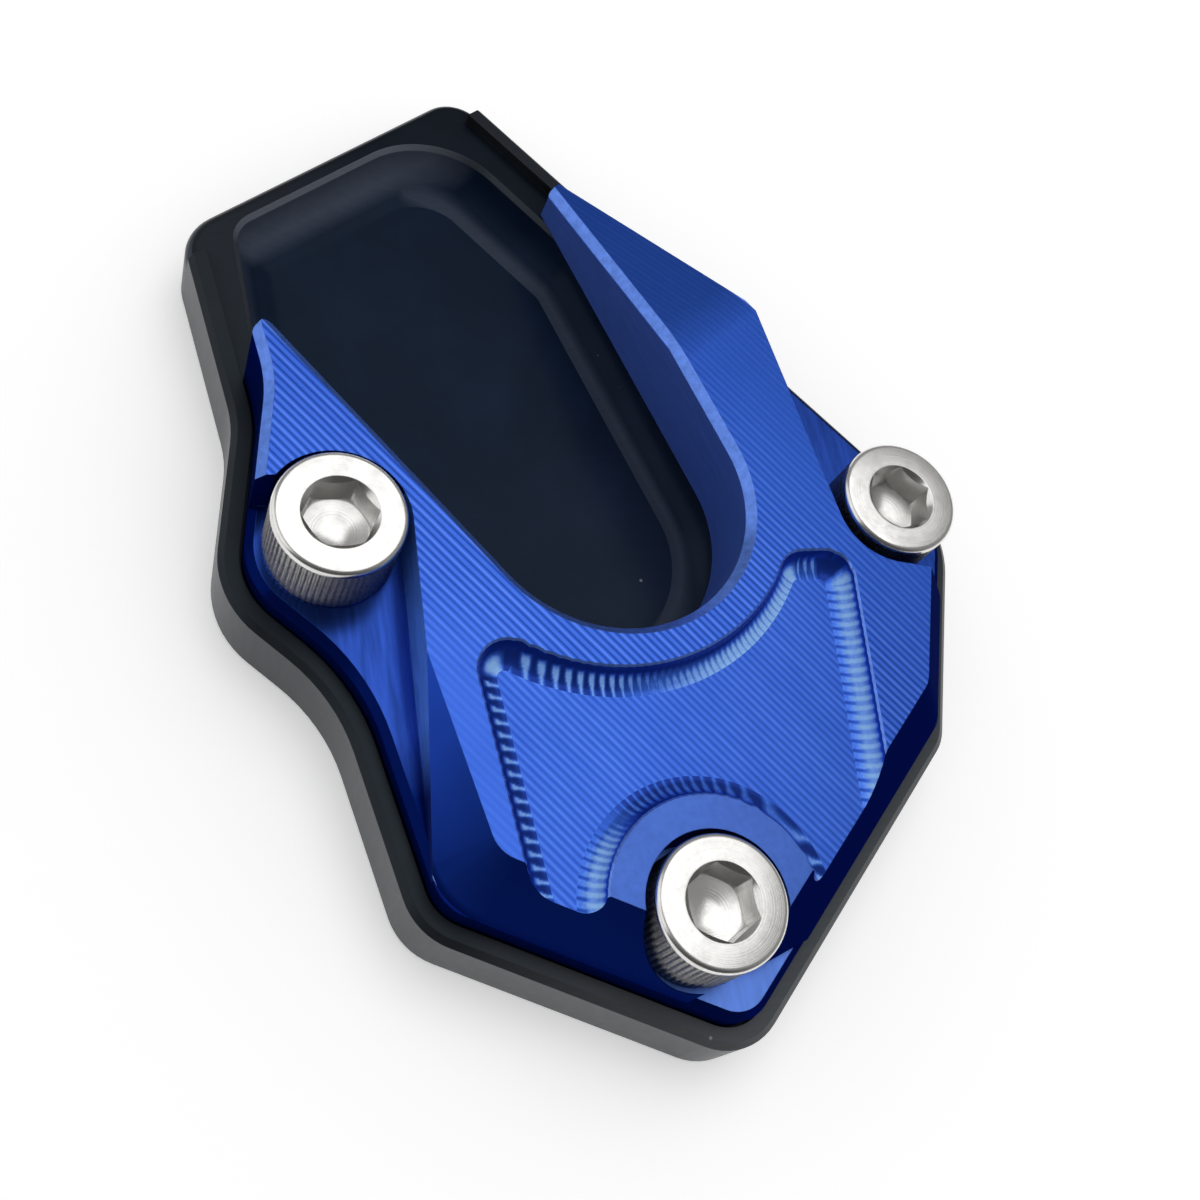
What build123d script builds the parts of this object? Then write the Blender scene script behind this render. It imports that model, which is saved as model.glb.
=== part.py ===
from build123d import *
import math
import os

# Kickstand foot enlarger: a black base with a scooped pocket for the stand's foot, and a milled
# clamp plate that three cap screws hold down on it, with a flared slot for the stand's leg.
# Millimetres. The underside is Z = 0, the X axis runs through the two side screws, and +Y leads
# towards the entry end. The origin lies midway between the side screws.

# Screws: M6 socket-head cap screws
screw_diameter = 6.0
screw_length = 8.0
screw_tip_chamfer = 0.5
head_diameter = 10.0
head_height = 6.0
head_edge_chamfer = 0.5
socket_across_flats = 5.0
socket_depth = 3.0
socket_cone_depth = 0.8
socket_turns = [0.0, 15.0, 30.0]
slot_to_side_screw = 11.8
front_screw_distance = 31.0

# Heights
ledge_height = 6.0
rim_height = 1.0
flange_thickness = 3.0
body_height = 5.0
pocket_depth = 4.0

# Base
rim_width = 1.6
rim_entry_gap = 3.0
rim_edge_chamfer = 0.5
entry_edge_radius = 0.9
foot_chamfer = 0.5
pocket_fillet = 3.4
pocket_edge_chamfer = 0.4

# Clamp plate
seat_gap = 0.2
bevel_run = 3.6
bevel_corner_radius = 2.6
edge_chamfer = 0.7
flange_chamfer = 0.6
head_clearance = 0.5
hole_clearance = 0.6
thread_clearance = 0.1
left_wall_lean = 2.6
left_step = 3.6
right_wall_lean = 9.0
right_foot_lean = 11.5
nose_step = 5.0
tip_round_share = 0.36
ramp_drop = 4.8

# Slot for the leg, flared towards the entry end, and the pocket that reaches under its edges
slot_radius = 11.4
slot_side = 1.6
slot_ahead = 1.8
slot_axis_angle = 116.5
slot_flare = 8.8
slot_tip_distance = 26.2
ramp_start = 7.0
pocket_overlap = 1.3
pocket_side_run = 24.5
pocket_left_radius = 2.8
pocket_right_radius = 8.0
pocket_side_radius = 6.0
pocket_side_ledge = 4.2
pocket_entry_ledge = 2.0

# Milled shield-shaped recess in the top face
shield_depth = 1.8
shield_mill_radius = 1.7
shield_arc_radius = 16.5
shield_arc_aside = 0.9
shield_arc_wall = 3.3
shield_corner_radius = 2.3
shield_left_inset = 7.9
shield_right_inset = 5.5
shield_drop = 5.9
shield_taper = 5.0
ring_width = 2.75

# Outline corners of the base: how far aside and ahead of the slot's edge or of the screw that each
# goes round, and its radius
entry_left_aside = 18.6
entry_left_ahead = 28.7
entry_left_radius = 4.7
entry_right_aside = 15.6
entry_right_ahead = 44.9
entry_right_radius = 3.4
right_ear_aside = 9.6
right_ear_ahead = 0.9
right_ear_radius = 8.5
right_shoulder_aside = 3.2
right_shoulder_behind = 18.8
right_shoulder_radius = 4.0
nose_aside = 3.2
nose_behind = 10.5
nose_radius = 5.0
left_shoulder_aside = 20.1
left_shoulder_ahead = 1.9
left_shoulder_radius = 5.5
left_waist_aside = 0.4
left_waist_behind = 11.1
left_waist_radius = 15.0
left_ear_aside = 8.6
left_ear_behind = 2.7
left_ear_radius = 8.0
left_hollow_aside = 5.8
left_hollow_ahead = 11.9
left_hollow_radius = 10.0

slot_centre = Vector(-slot_side, slot_ahead)
left_screw = Vector(-slot_radius - slot_to_side_screw, 0)
right_screw = Vector(slot_radius + slot_to_side_screw, 0)
front_screw = Vector(0, -front_screw_distance)
screw_places = [left_screw, right_screw, front_screw]

entry_left = slot_centre + Vector(-slot_radius - entry_left_aside, entry_left_ahead)
entry_right = slot_centre + Vector(slot_radius - entry_right_aside, entry_right_ahead)
right_ear = right_screw + Vector(right_ear_aside, right_ear_ahead)
right_shoulder = right_screw + Vector(right_shoulder_aside, -right_shoulder_behind)
nose = front_screw + Vector(nose_aside, -nose_behind)
left_shoulder = front_screw + Vector(-left_shoulder_aside, left_shoulder_ahead)
left_waist = left_screw + Vector(-left_waist_aside, -left_waist_behind)
left_ear = left_screw + Vector(-left_ear_aside, -left_ear_behind)
left_hollow = left_screw + Vector(-left_hollow_aside, left_hollow_ahead)

base_corners = [
    (entry_left, entry_left_radius),
    (entry_right, entry_right_radius),
    (right_ear, right_ear_radius),
    (right_shoulder, right_shoulder_radius),
    (nose, nose_radius),
    (left_shoulder, left_shoulder_radius),
    (left_waist, left_waist_radius),
    (left_ear, left_ear_radius),
    (left_hollow, left_hollow_radius),
]

# Values that follow from the sizes above
base_height = ledge_height + rim_height
ear_floor = ledge_height + flange_thickness
plate_top = ear_floor + body_height
head_top = ear_floor + head_height
pocket_floor = ledge_height - pocket_depth
plate_inset = rim_width + seat_gap
ear_radius = head_diameter / 2 + head_clearance
ring_radius = ear_radius + ring_width
bevel_angle = math.degrees(math.atan2(bevel_run, body_height))
reach = 2 * (right_screw.X + front_screw_distance)
touch = 0.01

entry_run = (entry_right - entry_left).normalized()
entry_angle = math.degrees(math.atan2(entry_run.Y, entry_run.X))
entry_outward = entry_run.rotate(Axis.Z, 90)
slot_left_run = Vector(1, 0).rotate(Axis.Z, slot_axis_angle + slot_flare)
slot_right_run = Vector(1, 0).rotate(Axis.Z, slot_axis_angle - slot_flare)
slot_left_side = slot_left_run.rotate(Axis.Z, 90)
slot_right_side = slot_right_run.rotate(Axis.Z, -90)
left_wall_run = Vector(0, -1).rotate(Axis.Z, -left_wall_lean)
right_wall_run = Vector(0, 1).rotate(Axis.Z, right_wall_lean)
right_foot_run = Vector(1, 0).rotate(Axis.Z, -right_foot_lean)
nose_run = (nose - front_screw).normalized()
nose_angle = math.degrees(math.atan2(nose_run.Y, nose_run.X))
slot_edge = slot_centre + slot_right_side * slot_radius
prong_run = (right_ear - entry_right).normalized()
prong_edge = right_ear - prong_run.rotate(Axis.Z, 90) * plate_inset
ramp_slope = ramp_drop / (slot_tip_distance - ramp_start)
ramp_normal = (Vector(0, 0, 1) + entry_outward * ramp_slope).normalized()
shield_arc_ahead = shield_arc_radius - slot_radius - shield_arc_wall
shield_arc_centre = slot_centre + Vector(-shield_arc_aside, shield_arc_ahead)
shield_run = Vector(0, -reach)
shield_left = Vector(left_screw.X + shield_left_inset, slot_centre.Y - shield_drop)
shield_right = Vector(right_screw.X - shield_right_inset, slot_centre.Y - shield_drop)


def round_corners(sketch, corners):
    """Fillet each named corner of a sketch with its own radius."""
    for corner, radius in corners:
        fillet(sketch.vertices().sort_by_distance(corner)[0], radius)


def at_tips(shape):
    """True for the plan corners and edges on the line that both prongs end at."""
    return abs((shape.center() - slot_centre).dot(entry_outward) - slot_tip_distance) < touch


def on_ramp(point):
    """Place on the ramp's plane above a plan point."""
    ahead = (point - slot_centre).dot(entry_outward)
    return point + Vector(0, 0, plate_top - (ahead - ramp_start) * ramp_slope)


def lies_on(edge, outline):
    """True where the middle of an edge stands above a plan outline."""
    middle = edge.position_at(0.5)
    return outline.wire().distance_to(Vector(middle.X, middle.Y)) < touch


def flared_slot_points(radius, run):
    """Straight sides of the flared slot, tangent to its round end of this radius."""
    left = slot_centre + slot_left_side * radius
    right = slot_centre + slot_right_side * radius
    return [left, left + slot_left_run * run, right + slot_right_run * run, right]


# Plan outlines, drawn once and shared by the pieces that fit each other

with BuildSketch() as base_outline:
    with BuildLine():
        Polyline(*[corner for corner, radius in base_corners], close=True)
    make_face()
    round_corners(base_outline, base_corners)

with BuildSketch() as rim_outline:
    add(base_outline.sketch)
    offset(amount=-rim_width, mode=Mode.SUBTRACT)
    with Locations((entry_left + entry_right) / 2):
        Rectangle(2 * reach, 2 * rim_entry_gap, rotation=entry_angle, mode=Mode.SUBTRACT)

with BuildSketch() as slot_outline:
    with BuildLine():
        Polyline(*flared_slot_points(slot_radius, reach), close=True)
    make_face()
    with Locations(slot_centre):
        Circle(slot_radius)

with BuildSketch() as plate_outline:
    add(base_outline.sketch)
    offset(amount=-plate_inset)
    with Locations(slot_centre + entry_outward * (slot_tip_distance + reach / 2)):
        Rectangle(2 * reach, reach, rotation=entry_angle, mode=Mode.SUBTRACT)
    add(slot_outline.sketch, mode=Mode.SUBTRACT)
    tip_width = min(edge.length for edge in plate_outline.edges().filter_by(at_tips))
    fillet(plate_outline.vertices().filter_by(at_tips), tip_round_share * tip_width)

pocket_left = entry_left + entry_run * pocket_side_ledge - entry_outward * pocket_entry_ledge
pocket_right = entry_right - entry_run * pocket_side_ledge - entry_outward * pocket_entry_ledge
pocket_points = flared_slot_points(slot_radius + pocket_overlap, pocket_side_run)

with BuildSketch() as pocket_outline:
    with BuildLine():
        Polyline(*pocket_points[:2], pocket_left, pocket_right, *pocket_points[2:], close=True)
    make_face()
    with Locations(slot_centre):
        Circle(slot_radius + pocket_overlap)
    round_corners(
        pocket_outline,
        [
            (pocket_left, pocket_left_radius),
            (pocket_right, pocket_right_radius),
            (pocket_points[1], pocket_side_radius),
            (pocket_points[2], pocket_side_radius),
        ],
    )

# Scooped space for the stand's foot, with a rounded foot to its walls

with BuildPart() as foot_space:
    with BuildSketch(Plane.XY.offset(pocket_floor)):
        add(pocket_outline.sketch)
    extrude(amount=base_height)
    fillet(foot_space.faces().sort_by(Axis.Z)[0].edges(), pocket_fillet)

# Base plate: rim on three sides, open at the entry end, tapped through for the screws

with BuildPart() as base_plate:
    with BuildSketch():
        add(base_outline.sketch)
    extrude(amount=ledge_height)
    fillet(base_plate.faces().sort_by(Axis.Z)[-1].edges(), entry_edge_radius)
    chamfer(base_plate.faces().sort_by(Axis.Z)[0].edges(), foot_chamfer)
    with BuildSketch(Plane.XY.offset(ledge_height - entry_edge_radius)):
        add(rim_outline.sketch)
    extrude(amount=entry_edge_radius + rim_height)
    rim_edges = base_plate.faces().sort_by(Axis.Z)[-1].edges()
    chamfer(rim_edges.filter_by(lambda edge: lies_on(edge, base_outline)), rim_edge_chamfer)
    add(foot_space.part, mode=Mode.SUBTRACT)
    ledge_edges = base_plate.edges().filter_by_position(Axis.Z, ledge_height - touch, ledge_height + touch)
    chamfer(ledge_edges.filter_by(lambda edge: lies_on(edge, pocket_outline)), pocket_edge_chamfer)
    with BuildSketch():
        with Locations(*screw_places):
            Circle((screw_diameter + thread_clearance) / 2)
    extrude(amount=ledge_height, mode=Mode.SUBTRACT)

base_plate.part.label = "base_plate"

# Sloped sides of the clamp plate's body, open towards the prongs

with BuildPart() as bevel_envelope:
    with BuildSketch(Plane.XY.offset(ear_floor)) as bevel_foot:
        with BuildLine():
            Polyline(
                (-reach, left_waist.Y),
                left_waist,
                left_shoulder,
                nose,
                right_shoulder,
                right_ear,
                (reach, right_ear.Y),
                (reach, reach),
                (-reach, reach),
                close=True,
            )
        make_face()
        offset(amount=-plate_inset, kind=Kind.INTERSECTION)
        bevel_foot_radius = bevel_corner_radius + bevel_run
        round_corners(bevel_foot, [(left_shoulder, bevel_foot_radius), (right_shoulder, bevel_foot_radius)])
    extrude(amount=body_height, taper=bevel_angle)

with BuildPart() as bevel_waste:
    with BuildSketch(Plane.XY.offset(ear_floor)):
        Rectangle(reach, 1.5 * reach)
    extrude(amount=body_height)
    add(bevel_envelope.part, mode=Mode.SUBTRACT)

# Shield-shaped recess, cut with a ball-ended mill round the front screw's ring

with BuildPart() as shield_space:
    with BuildSketch(Plane.XY.offset(plate_top - shield_depth)) as shield_outline:
        with BuildLine():
            Polyline(
                shield_left,
                shield_left + shield_run.rotate(Axis.Z, shield_taper),
                shield_right + shield_run.rotate(Axis.Z, -shield_taper),
                shield_right,
                close=True,
            )
        make_face()
        with Locations(shield_arc_centre):
            Circle(shield_arc_radius, mode=Mode.SUBTRACT)
        with Locations(front_screw):
            Circle(ring_radius, mode=Mode.SUBTRACT)
        round_corners(
            shield_outline,
            [
                (Vector(shield_arc_centre.X + shield_arc_radius, shield_right.Y), shield_corner_radius),
                (shield_right, shield_corner_radius),
                (shield_left, shield_corner_radius),
            ],
        )
    extrude(amount=body_height)
    fillet(shield_space.faces().sort_by(Axis.Z)[0].edges(), shield_mill_radius)

# Full-width blanks of the clamp plate with chamfered upper edges: the flange, and the whole height

with BuildPart() as flange:
    with BuildSketch(Plane.XY.offset(ledge_height)):
        add(base_outline.sketch)
        offset(amount=-plate_inset)
    extrude(amount=flange_thickness)
    chamfer(flange.faces().sort_by(Axis.Z)[-1].edges(), flange_chamfer)

with BuildPart() as plate_blank:
    with BuildSketch(Plane.XY.offset(ledge_height)):
        add(base_outline.sketch)
        offset(amount=-plate_inset)
    extrude(amount=flange_thickness + body_height)
    chamfer(plate_blank.faces().sort_by(Axis.Z)[-1].edges(), edge_chamfer)

# Chamfers round the slot, and along both edges of the ramp

with BuildPart() as chamfer_space:
    with BuildSketch(Plane.XY.offset(plate_top - edge_chamfer)):
        add(slot_outline.sketch)
    extrude(amount=2 * edge_chamfer, taper=-45)
    for start, run in [(slot_edge, slot_right_run), (prong_edge, prong_run)]:
        edge_run = on_ramp(start + run) - on_ramp(start)
        edge_plane = Plane(on_ramp(start), edge_run, ramp_normal).offset(-edge_chamfer)
        with BuildSketch(edge_plane):
            Rectangle(2 * reach, slot_radius, align=(Align.CENTER, Align.MIN))
        extrude(amount=2 * edge_chamfer, taper=-45)

# Lowered floors round the screw heads, which leave the flange

with BuildPart() as ear_space:
    with BuildSketch(Plane.XY.offset(ledge_height)):
        with Locations(*screw_places):
            Circle(ear_radius)
        with BuildLine():
            Polyline(
                left_screw + Vector(ear_radius, 0),
                left_screw + Vector(ear_radius, 0) + left_wall_run * reach,
                (-reach, -reach),
                (-reach, left_step),
                left_screw + Vector(0, left_step),
                close=True,
            )
        make_face()
        with BuildLine():
            Polyline(
                right_screw + right_wall_run.rotate(Axis.Z, 90) * ear_radius,
                right_screw + right_wall_run.rotate(Axis.Z, 90) * ear_radius + right_wall_run * reach,
                (reach, reach),
                right_screw + right_foot_run.rotate(Axis.Z, -90) * ear_radius + right_foot_run * reach,
                right_screw + right_foot_run.rotate(Axis.Z, -90) * ear_radius,
                close=True,
            )
        make_face()
        with Locations(front_screw + nose_run * (nose_step + reach / 2)):
            Rectangle(reach, 2 * reach, rotation=nose_angle)
    extrude(amount=flange_thickness + body_height)
    add(flange.part, mode=Mode.SUBTRACT)

# Clamp plate: thin flange with lowered floors for the screw heads, and a ramp on the right prong

with BuildPart() as top_plate:
    with BuildSketch(Plane.XY.offset(ledge_height)):
        add(plate_outline.sketch)
    extrude(amount=flange_thickness + body_height)
    with BuildSketch(Plane(slot_centre, entry_outward, entry_run)):
        with BuildLine():
            Polyline(
                (ramp_start, plate_top),
                (slot_tip_distance, plate_top - ramp_drop),
                (slot_tip_distance, plate_top),
                close=True,
            )
        make_face()
    extrude(amount=reach, mode=Mode.SUBTRACT)
    add(plate_blank.part, mode=Mode.INTERSECT)
    add(chamfer_space.part, mode=Mode.SUBTRACT)
    add(bevel_waste.part, mode=Mode.SUBTRACT)
    add(ear_space.part, mode=Mode.SUBTRACT)
    add(shield_space.part, mode=Mode.SUBTRACT)
    with BuildSketch():
        with Locations(*screw_places):
            Circle((screw_diameter + hole_clearance) / 2)
    extrude(amount=ear_floor, mode=Mode.SUBTRACT)

top_plate.part.label = "top_plate"

# Three cap screws, seated on the lowered floors and screwed into the base

with BuildPart() as cap_screws:
    with BuildSketch(Plane.XY.offset(ear_floor)):
        with Locations(*screw_places):
            Circle(head_diameter / 2)
    extrude(amount=head_height)
    chamfer(cap_screws.edges().group_by(Axis.Z)[-1], head_edge_chamfer)
    with BuildSketch(Plane.XY.offset(ear_floor)):
        with Locations(*screw_places):
            Circle(screw_diameter / 2)
    extrude(amount=-screw_length)
    chamfer(cap_screws.edges().group_by(Axis.Z)[0], screw_tip_chamfer)
    with BuildSketch(Plane.XY.offset(head_top)):
        for place, turn in zip(screw_places, socket_turns):
            with Locations(place):
                RegularPolygon(socket_across_flats / 2, 6, major_radius=False, rotation=turn)
    extrude(amount=-socket_depth, mode=Mode.SUBTRACT)
    with Locations(*[place + Vector(0, 0, head_top - socket_depth) for place in screw_places]):
        Cone(
            socket_across_flats / 2,
            0,
            socket_cone_depth,
            rotation=(180, 0, 0),
            align=(Align.CENTER, Align.CENTER, Align.MIN),
            mode=Mode.SUBTRACT,
        )

cap_screws.part.label = "cap_screws"

os.makedirs("parts", exist_ok=True)
export_step(base_plate.part, "parts/base_plate.step")
export_step(top_plate.part, "parts/top_plate.step")
export_step(cap_screws.part, "parts/cap_screws.step")
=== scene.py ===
import math

import bmesh
import bpy
from bpy.props import FloatProperty, FloatVectorProperty, IntProperty, PointerProperty
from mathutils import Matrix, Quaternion, Vector
from mathutils.geometry import tessellate_polygon


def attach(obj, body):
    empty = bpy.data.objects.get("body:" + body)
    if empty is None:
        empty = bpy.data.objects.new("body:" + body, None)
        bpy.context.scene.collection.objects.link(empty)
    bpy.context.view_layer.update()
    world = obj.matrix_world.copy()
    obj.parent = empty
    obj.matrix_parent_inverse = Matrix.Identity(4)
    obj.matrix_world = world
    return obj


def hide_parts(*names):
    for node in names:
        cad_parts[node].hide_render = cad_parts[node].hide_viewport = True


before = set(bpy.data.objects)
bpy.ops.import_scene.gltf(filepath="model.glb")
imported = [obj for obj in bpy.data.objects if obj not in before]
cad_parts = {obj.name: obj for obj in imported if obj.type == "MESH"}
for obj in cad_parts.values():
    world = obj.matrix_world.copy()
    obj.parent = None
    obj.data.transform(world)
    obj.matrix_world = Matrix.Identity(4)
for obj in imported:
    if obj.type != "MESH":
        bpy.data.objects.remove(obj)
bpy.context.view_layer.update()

bl_info = {
    "name": "Kickstand foot enlarger",
    "version": (1, 0, 0),
    "blender": (4, 5, 0),
    "location": "3D View > Sidebar > Foot enlarger",
    "description": "Dresses a kickstand foot enlarger: black base, milled blue clamp plate and cap screws",
    "category": "Object",
}

# One millimetre, in the metres that the frame is in
MM = 0.001
BODY = "root"

# Radius that edges are shaded round with, and how many samples find it
EDGE_ROUND = 0.10 * MM
EDGE_SAMPLES = 4

# Bends up to which a plate and a screw are shaded smooth
PLATE_BEND = math.radians(35)
SCREW_BEND = math.radians(40)

# Upward slope, or area, from which a plate's face is shaded flat
FLAT_SLOPE = 0.9995
FLAT_AREA = 15 * MM**2

# Corners nearer than this are welded, and faces that bend less than this are joined up
WELD_DISTANCE = 0.01 * MM
JOIN_BEND = math.radians(0.3)

# Tints of glancing reflections, and of dust
BLUE_GLANCE = (0.25, 0.42, 1.0, 1.0)
DEEP_GLANCE = (0.10, 0.18, 0.55, 1.0)
BLACK_GLANCE = (0.6, 0.8, 1.0, 1.0)
DUST = (0.55, 0.60, 0.68)
WHITE = (1.0, 1.0, 1.0)
BLACK = (0.0, 0.0, 0.0)

# Mesh attributes: how bright the painted highlight on a scalloped wall is, and the way from a screw's axis in
# millimetres
GLEAM = "gleam"
FROM_AXIS = "from_axis"

# How far the strokes on the scalloped walls lean over, as a share of the mill lines' lean
STROKE_LEAN = 0.2

# Share of an inner corner's radius that the foot of a scalloped wall may take up
CORNER_SHARE = 0.96

# Height and width of the flare that cuts the bright edge, in widths of that edge
FLARE = 3

# Directions that the finishes change in, among them those of painted light and shade
UP = (0.0, 0.0, 1.0)
LEFT = (-1.0, 0.0, 0.0)
TOWARDS_NOSE = (0.0, -1.0, 0.0)
TOWARDS_RAMP = (0.75, 0.66, 0.0)
TOWARDS_STRIP = (-0.6, -0.8, 0.0)
TOWARDS_RIM_SHEEN = (0.6, -0.8, 0.0)
FROM_ENTRY = (0.53, -0.85, 0.0)
FROM_RIGHT_WALL = (-0.95, -0.30, 0.0)
TOWARDS_ROUND_END = (0.45, -0.89, 0.0)

# Width of the camera's sensor, in millimetres
SENSOR_WIDTH = 36.0

# Radius and sides of the floor, and the distances in metres between which it fades to white
FLOOR_RADIUS = 3.0
FLOOR_SIDES = 64
FADE_START = 0.4
FADE_END = 1.4

# Radius of the studio walls in metres, and the faces round and up them
WALL_DISTANCE = 1.5
WALL_COLUMNS = 90
WALL_ROWS = 45


def length(name, description, millimetres):
    """A property for a size, given in millimetres."""
    return FloatProperty(
        name=name, description=description, default=millimetres * MM, unit="LENGTH", precision=5
    )


def colour(name, description, red, green, blue):
    """A property for a linear colour."""
    return FloatVectorProperty(
        name=name, description=description, default=(red, green, blue), subtype="COLOR", min=0.0, max=1.0
    )


def place(name, description, *millimetres):
    """A property for a point or a plan point, given in millimetres."""
    return FloatVectorProperty(
        name=name,
        description=description,
        size=len(millimetres),
        default=[value * MM for value in millimetres],
        subtype="TRANSLATION" if len(millimetres) == 3 else "NONE",
        unit="LENGTH",
        precision=5,
    )


def level(name, description, value):
    """A property for a brightness."""
    return FloatProperty(name=name, description=description, default=value, min=0.0)


def turn(name, description, degrees):
    """A property for an angle, given in degrees."""
    return FloatProperty(
        name=name, description=description, default=math.radians(degrees), subtype="ANGLE"
    )


class BasePlateSettings(bpy.types.PropertyGroup):
    """Sizes and colours of the black base."""

    ledge_height: length("Ledge height", "Height of the ledge that the clamp plate lies on", 6.0)
    pocket_middle: place("Pocket middle", "Plan place of the middle of the pocket", -9.0, 16.0)
    wall_black: colour("Wall black", "Colour of the outer walls", 0.010, 0.011, 0.013)
    ledge_black: colour("Ledge black", "Colour of the ledge", 0.004, 0.006, 0.011)
    pocket_black: colour("Pocket black", "Colour of the scooped pocket", 0.005, 0.011, 0.027)
    # Painted sheen on the pocket's walls, where the black reflects light
    pocket_sheen: colour("Pocket pale", "Colour of the pocket's wall at the entry", 0.085, 0.102, 0.138)
    # Painted sheen on the ledge, lighter towards the left where it reflects the light
    ledge_sheen: colour("Ledge rubbed", "Colour of the ledge on the left", 0.020, 0.023, 0.028)
    edge_grey: colour("Edge grey", "Colour of the pocket's rounded edge", 0.022, 0.025, 0.030)
    # Painted highlight on the pocket's rounded edge at the entry
    edge_sheen: colour("Edge pale", "Colour of the pocket's edge at the entry", 0.13, 0.14, 0.17)
    # The rim's own black, and the painted sheen that lightens it towards the nose
    rim_black: colour("Rim black", "Colour of the rim's untouched top", 0.010, 0.011, 0.013)
    rim_sheen: colour("Rim rubbed", "Colour of the rim where it is rubbed at the front", 0.095, 0.096, 0.100)


class ClampPlateSettings(bpy.types.PropertyGroup):
    """Sizes and colours of the blue clamp plate."""

    ramp_ease: length("Ramp ease", "Half of the width over which the top turns into the ramp", 2.0)
    line_pitch: length("Line pitch", "Spacing of the mill lines", 0.535)
    line_turn: turn("Line turn", "Direction of the mill lines in plan", -52.0)
    flange_top: length("Flange top", "Height of the lowered floors round the screws", 9.0)
    top_height: length("Top height", "Height of the plate's top face", 14.0)
    shield_depth: length("Shield depth", "Depth of the shield-shaped recess", 1.8)
    mill_radius: length("Mill radius", "Radius of the ball-ended mill that cut the recess", 1.7)
    shield_left: place("Shield left", "Plan place of the recess's upper left corner", -15.3, -4.1)
    shield_right: place("Shield right", "Plan place of the recess's upper right corner", 17.7, -4.1)
    shield_taper: turn("Shield taper", "Lean of the recess's side walls", 5.0)
    shield_corner: length("Shield corner", "Corner radius of the recess", 2.3)
    arc_centre: place("Arc centre", "Plan place of the middle of the recess's upper arc", -2.5, 3.6)
    arc_radius: length("Arc radius", "Radius of the recess's upper arc", 16.5)
    ring_centre: place("Ring centre", "Plan place of the front screw's ring", 0.0, -31.0)
    ring_radius: length("Ring radius", "Outer radius of the front screw's ring", 8.25)
    shield_recut: length("Shield recut", "How much the scalloped recess is cut beyond the smooth one", 0.03)
    recess_edge: length("Recess edge", "Width of the bright edge round the recess", 0.16)
    slot_centre: place("Slot centre", "Plan place of the middle of the slot's round end", -1.6, 1.8)
    slot_turn: turn("Slot turn", "Plan direction in which the slot opens", 116.5)
    slot_reach: length("Slot reach", "How far the slot's walls lie from its middle line at most", 17.0)
    line_light: colour("Line light", "Lightest mill lines", 0.12, 0.26, 0.92)
    line_middle: colour("Line middle", "Middle tone of the milled faces", 0.053, 0.153, 0.71)
    line_dark: colour("Line dark", "Darkest mill lines", 0.008, 0.040, 0.32)
    # Painted shade on the milled faces towards the ramp, which tilts away from the light
    ramp_shade: colour("Ramp blue", "Tone of the milled faces towards the ramp", 0.016, 0.080, 0.46)
    ring_blue: colour("Ring blue", "Colour of the front screw's fine-cut ring", 0.085, 0.185, 0.66)
    nose_blue: colour("Nose blue", "Colour of the lowered floor at the nose", 0.150, 0.300, 0.92)
    floor_blue: colour("Floor blue", "Colour of the lowered screw floors", 0.026, 0.078, 0.43)
    # Painted light on the wall beside the left screw, which faces the light from the left
    lit_step_blue: colour("Step blue", "Colour of the wall beside the left screw", 0.095, 0.260, 0.95)
    # Painted shade on the facets on the right, and painted light on the sloped facet on the left
    painted_dark_facet: colour("Dull facet", "Colour of the facets on the right", 0.0018, 0.0080, 0.075)
    lit_facet: colour("Lit facet", "Colour of the sloped facet on the left", 0.020, 0.080, 0.56)
    deep_facet: colour("Deep facet", "Colour of the polished facets", 0.0012, 0.0075, 0.085)
    wall_blue: colour("Wall blue", "Colour of the slot's upright wall", 0.085, 0.180, 0.70)
    # Painted highlight on the chamfers and on the recess's edge
    highlight_edge_blue: colour("Edge blue", "Colour of the bright chamfers", 0.15, 0.30, 0.92)
    # Tones of the painted highlights on the scalloped walls, from darkest to lightest
    scallop_deep: colour("Scallop deep", "Darkest tone of the scalloped walls", 0.008, 0.034, 0.28)
    scallop_middle: colour("Scallop middle", "Middle tone of the scalloped walls", 0.050, 0.170, 0.80)
    scallop_bright: colour("Scallop bright", "Lightest tone of the scalloped walls", 0.31, 0.57, 1.0)
    # Where the painted highlights on the scalloped walls are brightest, and the side where their strokes are
    # faintest
    left_gleam: turn("Left gleam", "Plan direction of the walls that gleam most", 165.0)
    right_gleam: turn("Right gleam", "Plan direction of the other walls that gleam", -50.0)
    faint_highlight_side: turn("Dull side", "Plan bearing of the recess walls with the dullest strokes", 80.0)


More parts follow.
